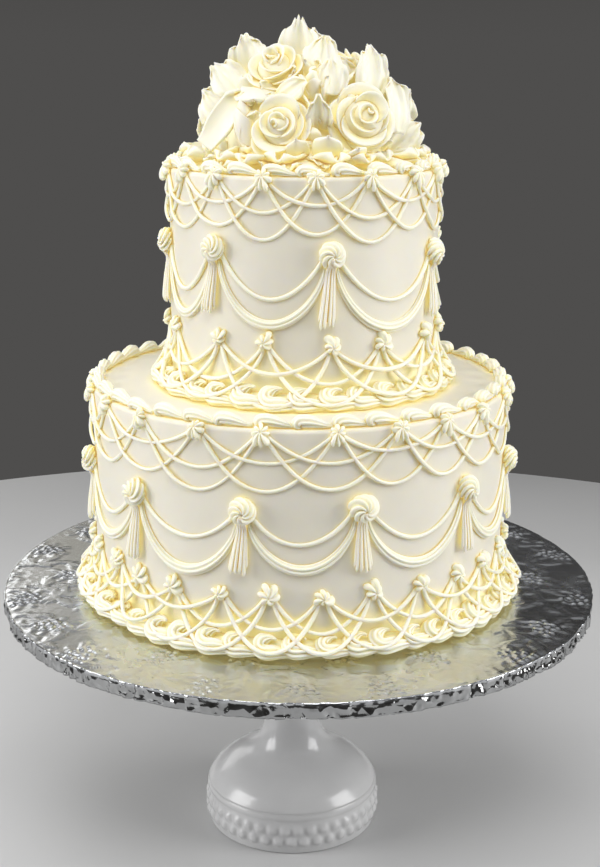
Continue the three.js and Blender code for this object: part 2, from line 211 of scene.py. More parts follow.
def strand(mass, path, away, wide, deep, sides=8, ridges=0, groove=0.0, twist=0.0, phase=0.0):
    """Icing piped along a path. wide and deep are the half sizes of its section at each step."""
    steps = len(path)
    along = unit(np.gradient(path, axis=0))
    out = unit(away - np.sum(away * along, -1, keepdims=True) * along)
    across = np.cross(along, out)
    ridge = np.abs(np.sin(ridges * circle(sides) / 2))
    share = 1 - groove * (1 - ridge) ** 1.4
    turn = circle(sides)[None, :] + phase + twist * np.linspace(0, 1, steps)[:, None]
    wide = np.broadcast_to(wide, steps)[:, None] * np.cos(turn) * share
    deep = np.broadcast_to(deep, steps)[:, None] * np.sin(turn) * share
    tube(mass, path[:, None] + across[:, None] * wide[..., None] + out[:, None] * deep[..., None])


# Places on a tier

def on_wall(tier, degrees, height, out):
    """Points over a tier's wall: at a height over its foot, and out from the wall."""
    height = tier.bottom + np.asarray(height, float)
    return around(np.radians(degrees), tier.radius + out, height, tier.x)


def outward(degrees):
    return around(np.radians(degrees), 1.0, 0.0)


class Spot:
    """A flat frame on a tier, for what is piped there: right, up and out."""

    def __init__(self, tier, degrees, height, out=0.0, lean=0.0, turn=0.0):
        self.origin = on_wall(tier, degrees, height, out)
        away = outward(degrees)
        side = np.array([-away[1], away[0], 0.0])
        tilt, spin = math.radians(lean), math.radians(turn)
        self.out = away * math.cos(tilt) + UP * math.sin(tilt)
        level = UP * math.cos(tilt) - away * math.sin(tilt)
        right = side * math.cos(spin) + level * math.sin(spin)
        up = level * math.cos(spin) - side * math.sin(spin)
        self.axes = (right, up, self.out)

    def at(self, *distances):
        return placed(self.origin, self.axes, *distances)


# Piped work

STRING_STEPS = 30


def hung(start, end, steps, fullness):
    """Shares of the way along what hangs, closer at its ends, and how far it hangs down at each."""
    share = 0.5 - 0.5 * np.cos(np.pi * np.linspace(start, end, steps))
    level = 1 - (2 * share - 1) ** 2
    return share, (1 - fullness) * level + fullness * np.sqrt(np.maximum(0, level))


def string(mass, tier, start, end, low, thick, out, dice, fullness=0.0):
    """A string hung between two places, each an angle and a height, down to its lowest height."""
    share, hang = hung(0, 1, STRING_STEPS, fullness)
    degrees = start[0] + (end[0] - start[0]) * share
    sag = (start[1] + end[1]) / 2 - low
    wander = dice(0, 2 * np.pi)
    height = start[1] + (end[1] - start[1]) * share - sag * hang
    height += 0.25 * np.sin(7 * share + wander) * hang
    radius = 1 + 0.08 * np.sin(9 * share + 2 * wander) + 0.12 * (2 * share - 1) ** 6
    radius = thick * radius
    strand(mass, on_wall(tier, degrees, height, out(share)), outward(degrees), radius, radius, sides=7)


def lie_on_wall(over):
    """A string lies on the wall, and over the one that it crosses first."""
    return lambda share: 0.6 + over * np.exp(-((share - 0.27) / 0.13) ** 2)


def hang_clear(reach):
    """A string leaves the wall smoothly, to lie over the border."""
    return lambda share: 0.5 + reach * np.sin(np.pi * share) ** 1.25


def hang_strings(mass, tier, dice):
    """The nets of strings at the tier's top and foot, and the single ones over the garlands."""
    over_foot = 1.42 * tier.foot_size
    top_heights = np.full(len(tier.top), tier.top_height - 1)
    low_heights = np.array([listed(tier.low_heights, i) - 3 for i in range(len(tier.low))])
    nets = (  # where, heights of the ends, lowest heights, distances out, fullness, thickness
        (tier.top, top_heights, tier.top_lows[0], lie_on_wall(1.1), 0, 1.22),
        (tier.top, top_heights - 1, tier.top_lows[1], lie_on_wall(1.5), 0.1, 1.22),
        (tier.low, low_heights, tier.low_lows[0], hang_clear(0.30 * over_foot), 0.1, 1.35),
        (tier.low, low_heights - 1, tier.low_lows[1], hang_clear(over_foot), 0.5, 1.35),
    )
    for net in nets:
        hang_ring(mass, tier, dice, *net)
    inset = math.degrees(0.6 * tier.middle_size / tier.radius)
    for i, first, last in spans(tier.middle, 1):
        start, end = (middle_height(tier, k) - 2.5 for k in (i, i + 1))
        low = listed(tier.string_lows, i) + dice(-1.5, 1.5)
        string(mass, tier, (first + inset, start), (last - inset, end), low, 1.4,
               lie_on_wall(0), dice, 0.15)


def spans(angles, reach):
    """Each place in a ring, with its angle and that of the one so many places on."""
    count = len(angles)
    for i in range(count):
        yield i, angles[i], angles[(i + reach) % count] + (360 if i + reach >= count else 0)


def middle_height(tier, i):
    return listed(tier.middle_heights, i % len(tier.middle))


def hang_ring(mass, tier, dice, angles, heights, lows, out, fullness, thick):
    """Strings that each span two rosettes, all round the tier."""
    count = len(angles)
    for i, first, last in spans(angles, 2):
        under = (i + 1) % count
        low = lows[under] if under < len(lows) else np.mean(lows) + dice(-2.5, 2.5)
        string(mass, tier, (first + 1.2, heights[i]), (last - 1.2, heights[(i + 2) % count]), low,
               thick * dice(0.93, 1.07), out, dice, fullness)


def garland(mass, tier, i, first, last, dice):
    """A fluted swag: thin where it starts, thick at its lowest, and steep at both ends."""
    share, hang = hung(0.02, 0.98, 34, 0.75)
    inset = math.degrees(0.38 * tier.middle_size / tier.radius)
    degrees = first + inset + (last - first - 2 * inset) * share
    full = np.sin(np.pi * share) ** 0.6
    ends = [middle_height(tier, k) - 5 for k in (i, i + 1)]
    start = ends[0] + (ends[1] - ends[0]) * share
    low = listed(tier.garland_lows, i) + dice(-0.5, 0.5)
    height = start - (start - low) * hang
    widest = tier.garland_width * dice(0.93, 1.07)
    wide = 1.5 + (widest - 1.5) * full
    deep = 1.4 + (0.80 * widest - 1.4) * full
    strand(mass, on_wall(tier, degrees, height, 0.3 * deep), outward(degrees), wide, deep,
           sides=30, ridges=6, groove=0.44, twist=dice(-0.25, 0.25), phase=dice(0, 0.8))


def tassel(mass, tier, i, degrees, dice):
    """A drop piped from the middle of a rosette: ridges side by side, ragged where they end."""
    ridges = 6
    length, sway = listed(tier.tassels, i % len(tier.middle))
    spot = Spot(tier, degrees, middle_height(tier, i))
    steps = np.linspace(0, 1, 23)
    for ridge in range(ridges):
        fan = np.radians(-78 + 156 * ridge / (ridges - 1) + dice(-4, 4))
        end = dice(0.92, 1.0) if 0 < ridge < ridges - 1 else dice(0.84, 0.94)
        share = end * steps
        fallen, out, spread, bulge = drop(tier, length, share)
        tip = np.clip((steps - 0.92) / 0.08, 0, 1)
        radius = (0.215 * spread + 0.12) * np.sqrt(np.maximum(0.02, 1 - tip ** 1.6))
        across = spread * np.sin(fan) + sway * share ** 1.3 + dice(-0.7, 0.7) * tip
        path = spot.at(across, -fallen, out + bulge * np.cos(fan) - 0.6 * tip)
        strand(mass, path, spot.out, radius, radius, sides=7)
    share = np.linspace(0.06, 0.86, 18)
    fallen, out, spread, bulge = drop(tier, length, share)
    path = spot.at(sway * share ** 1.3, -fallen, out)
    strand(mass, path, spot.out, 0.8 * spread, 0.5 * bulge + 0.1, sides=16)


def drop(tier, length, share):
    """The form of a tassel along its length: how low, how far out, and its half width and depth."""
    size = tier.middle_size
    fallen = 2.0 + (length - 2.0) * share
    neck = 0.95 * size
    out = 1.5 + 0.84 * size * (1 - smooth((fallen - 1) / (1.3 * size)))
    out = out + 1.5 * smooth((share - 0.3) / 0.6)
    flare = (tier.tassel_width - 2.3) * np.clip((fallen - neck) / (length - neck), 0, 1) ** 0.95
    return fallen, out, 0.4 + 1.9 * smooth(fallen / neck) + flare, 0.8 + 1.6 * smooth(share / 0.6)


def blossom(mass, spot, radius, proud, ridges, twist, pinch, hang, rough, dice):
    """A rosette of ridges wound from a pinch to the rim. hang makes it longer downwards."""
    per_ridge = 5
    rows = 13
    ridge_angle = circle(ridges * per_ridge)
    ridge = np.abs(np.sin(ridges * ridge_angle / 2))
    turn = np.radians(np.linspace(7, 122, rows))[:, None]
    share = turn / turn[-1]
    lobe, height = dice(1 - rough, 1 + rough, (2, ridges)).repeat(per_ridge, axis=1)
    cut = 1 - (0.28 + 0.8 * rough) * (1 - ridge) ** 1.3 * smooth(share / 0.25)
    swell = cut * (1 + (lobe - 1) * smooth(share / 0.6)) * (1 - 0.22 * np.exp(-(turn / 0.33) ** 2))
    angle = ridge_angle + twist * share + dice(0, 6.28)
    spread = radius * np.sin(turn) ** 0.9 * swell
    slide = (1 - share) ** 1.5 * radius
    right = spread * np.cos(angle) + pinch[0] * slide
    up = spread * np.sin(angle) + pinch[1] * slide
    up = np.where(up < 0, up * (1 + hang), up)
    rise = proud * (0.36 + 0.64 * np.cos(turn) * swell * (1 + (height - 1) * smooth(share / 0.3)))
    top = spot.at(pinch[0] * radius, pinch[1] * radius, 0.68 * proud)
    tube(mass, spot.at(right, up, rise), start=top, end=spot.at(0, 0, -0.6))


def rosettes(mass, tier, dice):
    """The knots that the garlands hang from, and the small star flowers over and under them."""
    for i, degrees in enumerate(tier.middle):
        spot = Spot(tier, degrees, middle_height(tier, i) + 0.3, 0.2, turn=dice(-15, 15))
        size = tier.middle_size * dice(0.98, 1.05)
        pinch = (dice(0.0, 0.2), dice(-0.25, -0.05))
        blossom(mass, spot, size, 1.1 * size, 8, dice(2.1, 2.7), pinch, 0, 0.08, dice)
    for i, degrees in enumerate(tier.low):
        height = listed(tier.low_heights, i)
        spot = Spot(tier, degrees, height, 0.0, lean=6, turn=dice(-25, 25))
        pinch = (dice(-0.15, 0.15), -0.25)
        blossom(mass, spot, tier.low_size * dice(0.95, 1.08), 5.6, 6,
                dice(0.3, 1.0), pinch, 0, 0.28, dice)
    for degrees in tier.top:
        spot = Spot(tier, degrees, tier.top_height, 0.0, lean=22)
        pinch = (dice(-0.1, 0.1), 0.1)
        blossom(mass, spot, tier.top_size * dice(0.97, 1.12), 5.6, 8,
                dice(0.1, 0.5), pinch, 0.5, 0.17, dice)


def carried_on(values, steps):
    """A row of values, and then steps away from its last one."""
    return np.concatenate([values, values[-1] + steps])


def curl(mass, spot, size, pitch, dice):
    """One swirl of a foot border: up from its tip, over and round, then on along the board."""
    share = np.linspace(0, 1, 21)
    tail = np.arange(1, 10) / 9
    turn = np.radians(dice(28, 55) + (238 + dice(-8, 8)) * share)
    tip = dice(0.15, 0.40) * (1 - smooth(share / 0.3))
    rise = 0.34 * size + 0.30 * size * (1 - smooth(share / 0.4)) - 0.05 * size * share
    right = carried_on(0.56 * size * np.cos(turn) * (1 + tip), pitch * tail)
    up = carried_on(0.45 * size * np.sin(turn) * (1 + tip), 0.05 * size * np.sin(np.pi * tail))
    rise = carried_on(rise, -0.18 * size * smooth(tail))
    full = carried_on(0.16 + 0.84 * smooth(share / 0.40), -0.60 * smooth(tail))
    section = 0.52 * size * full
    strand(mass, spot.at(right, up, rise), spot.out, section, 1.02 * section,
           sides=32, ridges=8, groove=0.42, twist=dice(0.3, 1.2), phase=dice(0, 0.7))


def foot_border(mass, tier, dice):
    """The swirls side by side at a tier's foot, on a bed of icing that closes the corner."""
    size, count = tier.foot_size, tier.foot_count
    pitch = 2 * math.pi * (tier.radius + 8) / count
    for i in range(count):
        degrees = 360 * (i + dice(-0.07, 0.07)) / count
        spot = Spot(tier, degrees, 0.64 * size, 0.46 * size, lean=46 + dice(-8, 8))
        curl(mass, spot, size * dice(0.92, 1.14), pitch, dice)
    degrees = np.linspace(0, 359.9, 200)
    swell = 0.45 * size * (1 + 0.12 * np.sin(np.radians(degrees) * count))
    path = on_wall(tier, degrees, 0.52 * size, 0.12 * size)
    strand(mass, path, outward(degrees), 1.15 * swell, swell, sides=16)


def shell(mass, tier, degrees, size, dice):
    """One shell of a rim border: up and over from where it starts, then drawn out into a tail."""
    share = np.linspace(0, 1, 12)
    tail = np.arange(1, 11) / 10
    drawn_out = smooth((tail - 0.1) / 0.9) ** 0.9
    turn = np.radians(-60 - 215 * share)
    along = carried_on(0.42 * size * np.cos(turn) * (0.3 + 0.7 * share), 3.6 * size * tail)
    up = carried_on(0.34 * size * np.sin(turn) * (0.3 + 0.7 * share),
                    -0.55 * size * smooth((tail - 0.1) / 0.8))
    full = carried_on(0.45 + 0.55 * smooth(share / 0.7), -0.66 * drawn_out)
    section = 0.74 * size * full
    inward = -0.80 * size + dice(-0.7, 0.7) * np.linspace(0, 1, len(along))
    angle = degrees + np.degrees(along / tier.radius)
    height = TIER_HEIGHT - 0.6 + np.maximum(0.70 * section, 0.60 * size + up)
    strand(mass, on_wall(tier, angle, height, inward), outward(angle), section, 1.08 * section,
           sides=32, ridges=8, groove=0.28, twist=dice(0.3, 1.0), phase=dice(0, 0.7))


def rim_border(mass, tier, dice):
    """The long shells laid head over tail along a tier's rim."""
    for i in range(tier.rim_count):
        degrees = 360 * (i + dice(-0.07, 0.07)) / tier.rim_count
        shell(mass, tier, degrees, tier.rim_size * dice(0.92, 1.06), dice)


def garlands(mass, tier, dice):
    for i, first, last in spans(tier.middle, 1):
        garland(mass, tier, i, first, last, dice)
        tassel(mass, tier, i, first, dice)


def tier_body(tier):
    """The smoothed icing of a tier: a wall that waves a little, with a soft edge."""
    angle = circle(144)
    radius, edge = tier.radius, TIER_EDGE
    profile = [(0.1 * radius, 0.0), (0.6 * radius, 0.0)]
    profile += [(radius, z) for z in np.linspace(0, TIER_HEIGHT - edge, 16)]
    profile += [(radius - edge + edge * math.sin(a), TIER_HEIGHT - edge + edge * math.cos(a))
                for a in np.linspace(math.pi / 2, 0, 6)[1:]]
    profile += [(radius * share, TIER_HEIGHT) for share in (0.93, 0.85, 0.7, 0.5, 0.3, 0.1)]
    rings = []
    for r, z in profile:
        wave = 0.22 * np.sin(3 * angle + 0.02 * z) + 0.16 * np.sin(7 * angle - 0.05 * z + 1.3)
        wall = smooth((r - 0.8 * radius) / (0.15 * radius))
        lift = 0.25 * np.sin(4 * angle + r * 0.06) * (1 - wall) * (z > 1)
        rings.append(around(angle, r + wave * wall, tier.bottom + z + lift, tier.x))
    return skin(rings)


# The bouquet. Places are measured from the middle of the upper tier's top.

ROSES = [  # name, middle of the face, the way it faces, radius, depth, start, how far its eye is off
    ("rose_front_right", (34.9, -49, 33.3), (0.2, -0.9, 0.4), 19.5, 20, 230, 4.5),
    ("rose_front_left", (-15.5, -57, 28.7), (-0.15, -0.92, 0.35), 18, 17, 60, -1),
    ("rose_top", (-19, -24, 64), (-0.25, -0.6, 0.75), 17, 20, 265, -1.5),
    ("rose_upper_right", (30, 9, 64), (0.55, 0.15, 0.8), 13, 18, 90, 0),
    ("rose_left_side", (-58, 17, 27), (-0.9, 0.2, 0.35), 14, 16, 10, 1.5),
    ("rose_right_side", (57, 24, 28), (0.85, 0.4, 0.35), 15, 16, 60, -1.5),
    ("rose_back_left", (-33, 48, 32), (-0.5, 0.8, 0.35), 18, 18, 120, 2.5),
    ("rose_back_right", (17, 58, 31), (0.25, 0.88, 0.4), 18, 18, 300, -1),
    ("rose_back_top", (-2, 31, 62), (-0.05, 0.65, 0.75), 15, 18, 30, 1),
]
BUDS = [  # name, foot, tip, radius
    ("bud_left", (-33, -46, 14), (-39, -48, 43), 7.5),
    ("bud_top", (3, -30, 42), (5, -44, 60), 6.5),
]
BLADES = [  # name, foot, tip, the way it faces, width, how round its end is, torn into how many
    ("petal_long_left", (-62, -42, 15), (-38, -38, 47), (-0.3, -0.9, 0.4), 17, 0.6),
    ("petal_round_front", (13, -60, 6), (14, -73, 22), (0, -0.9, 0.5), 19, 0.9),
    ("petal_round_right", (31, -60, 5), (33, -72, 15), (0.2, -0.9, 0.6), 15, 0.9),
    ("petal_between", (9, -50, 25), (8, -60, 47), (0, -1, 0.3), 16, 0.25),
    ("leaf_crown", (-4, -3, 55), (-4, 3, 93), (0, -1, 0.25), 28, 0.15, 3),
    ("leaf_crown_back", (6, 12, 55), (6, 15, 86), (0.3, -1, 0.2), 20, 0.15),
    ("leaf_crown_right", (8, -27, 52), (13, -5, 81), (0.15, -0.9, 0.5), 25, 0.15),
    ("leaf_over_rose", (18, -41.5, 46), (16, -27, 67), (0.1, -0.9, 0.5), 19, 0.3),
    ("leaf_right_high", (41, -20, 42), (40.5, -3, 76), (0.4, -0.9, 0.35), 23, 0.2, 2),
    ("leaf_right_middle", (57, -24, 22), (54, -12, 56), (0.7, -0.7, 0.2), 25, 0.2),
    ("leaf_right_back", (54, 2, 24), (68, 5, 48), (0.8, -0.5, 0.3), 23, 0.2),
    ("leaf_right_low", (54, -14, 10), (75, 0, 27), (0.5, -0.6, 0.6), 23, 0.2),
    ("leaf_left_high", (-30, -4, 52), (-39, 2, 82), (-0.3, -0.95, 0.3), 27, 0.2, 2),
    ("leaf_left_middle", (-38, -14, 42), (-59, 3, 63), (-0.3, -0.8, 0.6), 24, 0.25, 2),
    ("leaf_left_side", (-44, -14, 24), (-66, 5, 47), (-0.5, -0.75, 0.45), 25, 0.2),
    ("leaf_left_low", (-48, -6, 10), (-67, 8, 30), (-0.6, -0.5, 0.6), 23, 0.2),
    ("leaf_back_high", (14, 26, 50), (18, 34, 76), (0.2, 1, 0.4), 23, 0.2),
    ("leaf_back_left", (-44, 26, 34), (-56, 32, 58), (-0.6, 0.6, 0.5), 23, 0.25),
    ("leaf_back_right", (40, 32, 32), (46, 42, 56), (0.5, 0.8, 0.4), 23, 0.25),
    ("leaf_back_middle", (-7, 50, 20), (-8, 62, 42), (0, 0.9, 0.4), 22, 0.25),
    ("leaf_back_corner", (42, 44, 8), (50, 54, 28), (0.6, 0.7, 0.4), 22, 0.25),
]
RING_LEAVES = [-68, -40, -12, 14, 40, 66, 92, 126, 160, -164, -130, -96]
RING_LEAF = Sizes(start=48.0, end=79.0, width=26.0, height=6.0, lift=1.5, wander=2.5, roundness=0.42)
MOUND = Sizes(radius=53.0, height=57.0)


def in_bouquet(point):
    return np.array(BOUQUET_FOOT) + np.array(point, float)


def facing_frame(facing):
    """Right, up and forward for what faces that way."""
    forward = unit(np.array(facing, float))
    right = unit(np.cross(UP, forward))
    return right, np.cross(forward, right), forward


def petal(mass, centre, axes, middle, spread, foot, edge, roll, dice):
    """One petal of a rose. foot and edge are (distance from the axis, height along it)."""
    rise = np.linspace(0, 1, 9)[:, None]
    side = np.linspace(-1, 1, 19)[None, :]
    wave = dice(0, 6.28)
    angle = np.radians(middle) + side * np.radians(spread) / 2
    arch = 1 - np.abs(side) ** 2.4
    full = 0.66 + 0.34 * arch
    curl_out = smooth((rise - 0.62) / 0.38)
    reach = foot[0] + (edge[0] - foot[0]) * rise ** 0.85 * full
    reach += roll * curl_out * (0.3 + 0.7 * arch) + 0.15 * edge[0] * side
    reach += 0.05 * edge[0] * np.sin(2.6 * side + wave) * rise ** 2
    height = foot[1] + (edge[1] - foot[1]) * rise ** 1.2 * (0.52 + 0.48 * arch)
    height -= 0.7 * roll * curl_out ** 2.2 * arch
    height += 0.04 * edge[0] * np.sin(3.7 * side + 2 * wave) * rise ** 2
    grid = placed(centre, axes, reach * np.cos(angle), reach * np.sin(angle), height)
    sheet(mass, grid, 2.2 - 1.2 * rise)


WHORLS = [  # petals, spread, foot and edge over the radius, their heights over the depth, roll
    (1, 330, 0.02, 0.13, -0.20, 0.40, 0.02),
    (2, 235, 0.07, 0.32, -0.30, 0.40, 0.05),
    (2, 215, 0.18, 0.55, -0.45, 0.34, 0.08),
    (3, 165, 0.30, 0.80, -0.60, 0.16, 0.12),
    (3, 150, 0.42, 1.03, -0.75, -0.06, 0.17),
    (3, 120, 0.50, 1.00, -0.95, -0.42, 0.18),
]
# The cone inside a rose: widths over its radius, with their heights over its depth.
CONE = [(0.1, -1.0), (0.6, -0.85), (0.86, -0.52), (0.78, -0.24), (0.58, -0.03), (0.36, 0.12),
        (0.12, 0.24), (0.03, 0.25)]


def rose(mass, dice, face, facing, radius, depth, start, eye):
    """A rose: a wound bud with whorls of petals that open more and more, round a cone of icing."""
    axes = facing_frame(facing)
    centre = in_bouquet(face)
    for k, (count, spread, foot_out, edge_out, foot_up, edge_up, roll) in enumerate(WHORLS):
        for i in range(count):
            middle = start + 360 * (i + 0.42 * k) / count + dice(-16, 16)
            size = dice(0.85, 1.08)
            lift = dice(-0.11, 0.11)
            slip = (axes[0] * dice(-0.09, 0.09) + axes[1] * dice(-0.09, 0.09)) * radius
            slip = slip + axes[0] * eye * (1 - edge_out)
            petal(mass, centre + slip, axes, middle, spread * dice(0.92, 1.08),
                  (foot_out * radius, foot_up * depth),
                  (edge_out * radius * size, (edge_up + lift) * depth), roll * radius, dice)
    angle = circle(20)
    tube(mass, [
        placed(centre, axes, share * radius * np.cos(angle) + eye * (1 - share),
               share * radius * np.sin(angle), level * depth)
        for share, level in CONE
    ])


def blade(mass, dice, foot, tip, facing, width, roundness, tips=1, rows=22, columns=17):
    """A leaf or petal. A leaf is ribbed, with ruffled and torn edges; a petal is smooth and hollow."""
    start = in_bouquet(foot)
    along = in_bouquet(tip) - start
    length = np.linalg.norm(along)
    across = unit(np.cross(along, np.array(facing, float)))
    up = unit(np.cross(across, along))
    leafy = 1 - smooth((roundness - 0.3) / 0.2)
    bend = 1 if roundness < 0.8 else -0.8
    share = np.linspace(0, 1, rows)[:, None]
    side = np.linspace(-1, 1, columns)[None, :]
    past = np.clip((share - 0.42) / 0.58, 0, 1)
    end_width = 0.10 + 0.4 * roundness if tips == 1 else 0.28
    pointed = 1 - (1 - end_width) * past ** 1.3
    rounded = np.sqrt(np.maximum(0.02, 1 - np.clip((share - 0.45) / 0.555, 0, 1) ** 2.2))
    outline = (0.74 + 0.26 * smooth(share / 0.42)) * (leafy * pointed + (1 - leafy) * rounded)
    phase = dice(0, 6.28, 4)
    teeth = np.where(side > 0, (3.3 * share + phase[0]) % 1, (2.7 * share + phase[1]) % 1)
    torn = smooth((share - 0.35) / 0.2) * smooth((1 - share) / 0.08)
    outline = outline + 0.10 * leafy * (teeth - 0.5) * torn
    half = width / 2 * outline
    edge = np.abs(side) ** 2.0
    ruffle = np.where(side > 0, np.sin(9 * share + phase[2]), np.sin(7.5 * share + phase[3]))
    ruffle = ruffle * edge * 0.10 * width * leafy * smooth(share / 0.3)
    ribs = 0.042 * width * leafy * np.cos(3.6 * np.pi * side + 0.8 * np.sin(3 * share + phase[0]))
    ribs *= smooth(share / 0.15) * smooth((1 - share) / 0.15)
    crease = -0.09 * width * leafy * np.exp(-(side / 0.14) ** 2) * smooth((1 - share) / 0.3)
    hollow = (0.34 * bend * (1 - leafy) * edge + 0.20 * leafy * np.abs(side) ** 1.4)
    hollow = hollow * width / 2 * smooth(share / 0.4)
    arch = 0.34 * length * share * (1 - share) * leafy
    cup = 0.22 * length * bend * (1 - leafy) * ((share - 0.35) ** 2 - 0.1)
    rise = hollow + arch + cup + ruffle + ribs + crease
    reach = smooth((share - 0.72) / 0.28) * (
        0.034 * length * (np.cos(np.pi * tips * side + (0 if tips % 2 else np.pi)) - 0.4) * (tips > 1)
        * (1 + 0.5 * np.sin(2 * side + phase[1])) - 0.12 * length * side ** 2
    )
    grid = placed(start + along * share[..., None], (along / length, across, up),
                  reach, half * side, rise)
    sheet(mass, grid, (2.1 - 1.0 * np.abs(side) * leafy) * (1 - 0.4 * share * leafy))


def body_of_bud(level):
    """How wide a bud is, over its radius, from its foot to its tip."""
    return np.sin(np.pi * np.clip(0.12 + 0.88 * level, 0, 0.985)) ** 0.62


def bud(mass, dice, foot, tip, radius):
    """A closed bud, wrapped in petals."""
    start, end = in_bouquet(foot), in_bouquet(tip)
    along = end - start
    axes = facing_frame(along)
    angle = circle(28)
    rings = []
    for level in np.linspace(0.02, 1, 14):
        fold = 1 + 0.05 * np.sin(2 * angle + 5 * level) + 0.03 * np.sin(3 * angle - 3 * level)
        out = 0.84 * radius * body_of_bud(level) * fold
        rings.append(placed(start + along * level, axes, out * np.cos(angle), out * np.sin(angle), 0))
    tube(mass, rings, end=end)
    side = np.linspace(-1, 1, 19)[None, :]
    for middle, top in ((-80, 0.86), (50, 0.78), (170, 0.70)):
        level = np.linspace(0, 1, 10)[:, None] * (top - 0.30 * side ** 2 + dice(-0.03, 0.03))
        turn = np.radians(middle + 88 * side)
        out = radius * (0.90 * body_of_bud(level) + 0.12 + 0.08 * side)
        middle_line = start + along * level[..., None]
        sheet(mass, placed(middle_line, axes, out * np.cos(turn), out * np.sin(turn), 0), 1.0)


def ring_leaf(mass, dice, degrees, i):
    """One of the leaves that lie round the foot of the bouquet."""
    way = outward(degrees)
    reach = RING_LEAF.end + RING_LEAF.wander * math.sin(i * 2.4)
    foot = way * RING_LEAF.start + UP * RING_LEAF.height
    tip = way * reach + UP * (RING_LEAF.height + RING_LEAF.lift)
    blade(mass, dice, foot, tip, UP, RING_LEAF.width, RING_LEAF.roundness)


FILLERS = 112
LOOSE_PETALS = [  # foot, tip, the way it faces, width, how round its end is
    ((-29, -30, 50), (-31, -55, 45), (0, -0.35, 1), 27, 0.9),
    ((-17, -42, 41), (1, -47, 54), (-0.3, -1, 0.5), 15, 0.4),
    ((46, -14, 18), (50, -8, 52), (0.5, -0.8, 0.3), 20, 0.3),
    ((-36, -52, 16), (-28, -52, 36), (0, -1, 0.2), 13, 0.42),
    ((-3, -58, 6), (-5, -68, 20), (0, -1, 0.5), 15, 0.9),
]


def mound_at(level):
    """How wide and how high the mound is, from 0 at its foot to 1 at its top."""
    quarter = level * math.pi / 2
    return MOUND.radius * math.cos(quarter) ** 0.8, MOUND.height * math.sin(quarter)


def mound():
    """The heap of icing under the flowers, uneven as spread."""
    angle = circle(72)
    rings = []
    for level in np.linspace(0.0, 0.98, 22):
        spread, height = mound_at(level)
        lumps = 1 + 0.035 * np.sin(5 * angle + 7 * level) + 0.03 * np.sin(9 * angle - 11 * level)
        rings.append(in_bouquet(around(angle, spread * lumps, height)))
    return skin(rings)


def fillers():
    """Rough petals on the mound between the flowers, and leaves that hang over the border round it."""
    choices = np.random.default_rng(77)
    dice = choices.uniform
    mass = Mass()
    for i in range(FILLERS):
        level = 0.02 + 0.90 * i / FILLERS
        a = i * GOLDEN_ANGLE + dice(-0.1, 0.1)
        way = around(a, 1.0, 0.0)
        spread, height = mound_at(level)
        foot = way * (spread - 4) + UP * height
        rise = dice(0.25, 1.0) + level
        size = dice(13, 18)
        sway = np.array([math.cos(a), math.sin(a), 0.0]) * dice(-0.7, 0.7)
        tip = foot + size * unit(way * (1.1 - 0.4 * level) + UP * rise + sway)
        facing = way * 0.6 + UP * 0.9 + sway * 0.3
        blade(mass, dice, foot, tip, facing, dice(13, 18), choices.choice([0.3, 0.42, 0.9]),
              rows=10, columns=9)
    for row in LOOSE_PETALS:
        blade(mass, dice, *row)
    for first, last in zip(RING_LEAVES, RING_LEAVES[1:] + RING_LEAVES[:1]):
        for place, low, width in ((0.5, 5, 23), (0.15, 2, 17), (0.82, 2, 17)):
            way = outward(first + ((last - first) % 360) * (place + dice(-0.08, 0.08)))
            foot = way * 50 + UP * (low + 4)
            tip = way * dice(78, 82) + UP * (low + dice(0, 3))
            blade(mass, dice, foot, tip, UP, width + dice(-2, 2),
                  choices.choice([0.36, 0.42, 0.9]), rows=16, columns=13)
    return mass


# The board

BOARD_COLUMNS = 1000
FOIL_TOP = BOARD.top - 1.15
EMBOSS_FROM = 132.0
CLUSTER_PITCH = 53.0
PLEAT_LEVELS = 5
CREASES = 110


def emboss(x, y):
    """How high the foil's pattern stands at each point: clusters of blossoms among curling leaves."""
    dice = dice_of(5)
    height = 0.0 * x
    for row in range(-6, 7):
        for column in range(-6, 7):
            cx = CLUSTER_PITCH * (column + 0.5 * (row % 2)) + dice(-3, 3)
            cy = CLUSTER_PITCH * 0.87 * row + dice(-3, 3)
            turn = dice(0, 2 * np.pi)
            reach = math.hypot(cx, cy)
            if reach < EMBOSS_FROM - 34 or reach > BOARD.radius + 34:
                continue
            near = np.hypot(x - cx, y - cy) < 36
            u = (x[near] - cx) * math.cos(turn) + (y[near] - cy) * math.sin(turn)
            v = (y[near] - cy) * math.cos(turn) - (x[near] - cx) * math.sin(turn)
            raised = cluster(u, v)
            for side in (0, 1, 2):
                raised = np.maximum(raised, frond(u, v, side * 2.1 + 0.5, 1 - 2 * (side % 2)))
            height[near] = np.maximum(height[near], raised)
    return height


def cluster(u, v):
    """Small blossoms close together, with short leaves sticking out round them."""
    height = 0.0 * u
    for i in range(18):
        reach = 2.55 * math.sqrt(i)
        angle = i * GOLDEN_ANGLE
        du = u - 1.2 * reach * math.cos(angle)
        dv = v - 0.85 * reach * math.sin(angle)
        bead = 1.15 * np.sqrt(np.maximum(0, 1 - (du ** 2 + dv ** 2) / 2.3 ** 2))
        height = np.maximum(height, bead)
    angle = np.arctan2(v, u)
    reach = np.hypot(u / 1.2, v / 0.85)
    spike = smooth((np.cos(9 * angle) * (19 - reach) / 8 + 0.05) / 0.4) * (reach > 9) * (reach < 19)
    return np.maximum(height, 0.4 * spike)


